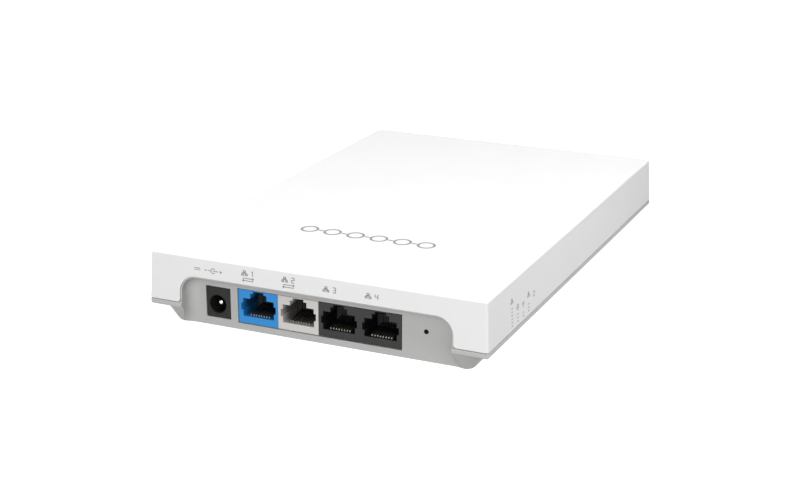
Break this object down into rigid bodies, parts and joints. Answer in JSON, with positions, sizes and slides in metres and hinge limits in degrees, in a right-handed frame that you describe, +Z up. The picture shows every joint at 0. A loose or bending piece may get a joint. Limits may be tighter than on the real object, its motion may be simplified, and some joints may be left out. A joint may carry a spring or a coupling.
{
  "type": "wall-plate network gateway",
  "caption": "Thin wall-plate network gateway: white drafted cover on a gray base, recessed front panel with Ethernet ports, a power inlet and a reset pinhole.",
  "frame": {"origin": "centre of the object's outline, on the surface that its belly rests on", "axes": "+X to the right along the port panel as seen from the front, +Y from the port panel to the back, +Z up out of the cover"},
  "size_m": [0.125, 0.1874, 0.0263],
  "materials": {
    "cover_white": "fine satin moulded plastic",
    "base_gray": "fine satin moulded plastic",
    "board_green": "solder mask",
    "jack_blue": "moulded plastic",
    "jack_light": "moulded plastic",
    "jack_black": "moulded plastic",
    "carrier_black": "moulded plastic",
    "contact_gold": "gold plated spring wire",
    "inlet_black": "moulded plastic",
    "pin_nickel": "nickel plated",
    "sheet_steel": "tin plated sheet",
    "plunger_black": "moulded plastic",
    "chip_black": "moulded epoxy",
    "pad_gray": "soft silicone",
    "spreader_aluminium": "plain extruded",
    "transformer_tape": "polyester tape",
    "ferrite_gray": "pressed ferrite",
    "can_aluminium": "drawn can",
    "ceramic_tan": "fired ceramic",
    "light_lens": "clear epoxy",
    "guide_clear": "clear acrylic",
    "screw_steel": "zinc plated",
    "label_white": "blank film label"
  },
  "bodies": {
    "housing": {"top_cover": "cover_white", "base_shell": "base_gray", "main_board": "board_green", "blue_jack_housing": "jack_blue", "light_jack_housing": "jack_light", "black_jack_housing": "jack_black", "rear_jack_housing": "jack_black", "blue_jack_carrier": "carrier_black", "light_jack_carrier": "carrier_black", "black_jack_carrier": "carrier_black", "rear_jack_carrier": "carrier_black", "dc_inlet_housing": "inlet_black", "dc_inlet_pin": "pin_nickel", "reset_switch_body": "carrier_black", "reset_switch_frame": "sheet_steel", "main_processor": "chip_black", "memory_chips": "chip_black", "flash_chip": "chip_black", "switch_chip": "chip_black", "radio_chips": "chip_black", "power_controller": "chip_black", "thermal_pad": "pad_gray", "heat_spreader": "spreader_aluminium", "radio_shield_1": "sheet_steel", "radio_shield_2": "sheet_steel", "lan_transformers": "chip_black", "power_transformer": "transformer_tape", "power_inductors": "ferrite_gray", "bulk_capacitors": "can_aluminium", "crystals": "sheet_steel", "chip_capacitors": "ceramic_tan", "antenna_1": "sheet_steel", "antenna_2": "sheet_steel", "antenna_3": "sheet_steel", "antenna_4": "sheet_steel", "status_lights": "light_lens", "light_guide": "guide_clear", "board_screws": "screw_steel", "case_screws": "screw_steel", "rating_label": "label_white"},
    "blue_contacts": {"blue_jack_contacts": "contact_gold"},
    "light_contacts": {"light_jack_contacts": "contact_gold"},
    "black_left_contacts": {"black_jack_left_contacts": "contact_gold"},
    "black_right_contacts": {"black_jack_right_contacts": "contact_gold"},
    "rear_left_contacts": {"rear_jack_left_contacts": "contact_gold"},
    "rear_right_contacts": {"rear_jack_right_contacts": "contact_gold"},
    "inlet_spring": {"dc_inlet_spring": "pin_nickel"},
    "reset_button": {"reset_plunger": "plunger_black"}
  },
  "joints": [
    {"name": "blue_contacts_flex", "type": "hinge", "parent": "housing", "child": "blue_contacts", "pos_m": [-0.02386, -0.0854, 0.00517], "axis": [-1, 0, 0], "range_deg": [0, 9], "stiffness_Nm_per_rad": 0.3},
    {"name": "light_contacts_flex", "type": "hinge", "parent": "housing", "child": "light_contacts", "pos_m": [-0.00862, -0.0854, 0.00517], "axis": [-1, 0, 0], "range_deg": [0, 9], "stiffness_Nm_per_rad": 0.3},
    {"name": "black_left_contacts_flex", "type": "hinge", "parent": "housing", "child": "black_left_contacts", "pos_m": [0.00662, -0.0854, 0.00517], "axis": [-1, 0, 0], "range_deg": [0, 9], "stiffness_Nm_per_rad": 0.3},
    {"name": "black_right_contacts_flex", "type": "hinge", "parent": "housing", "child": "black_right_contacts", "pos_m": [0.02186, -0.0854, 0.00517], "axis": [-1, 0, 0], "range_deg": [0, 9], "stiffness_Nm_per_rad": 0.3},
    {"name": "rear_left_contacts_flex", "type": "hinge", "parent": "housing", "child": "rear_left_contacts", "pos_m": [-0.00762, 0.01348, 0.00205], "axis": [-1, 0, 0], "range_deg": [0, 9], "stiffness_Nm_per_rad": 0.3},
    {"name": "rear_right_contacts_flex", "type": "hinge", "parent": "housing", "child": "rear_right_contacts", "pos_m": [0.00762, 0.01348, 0.00205], "axis": [-1, 0, 0], "range_deg": [0, 9], "stiffness_Nm_per_rad": 0.3},
    {"name": "inlet_spring_flex", "type": "hinge", "parent": "housing", "child": "inlet_spring", "pos_m": [-0.03985, -0.07765, 0.0043], "axis": [1, 0, 0], "range_deg": [0, 4], "stiffness_Nm_per_rad": 0.1},
    {"name": "reset_press", "type": "slide", "parent": "housing", "child": "reset_button", "axis": [0, 1, 0], "range_m": [0, 0.0003], "stiffness_N_per_m": 4000}
  ]
}
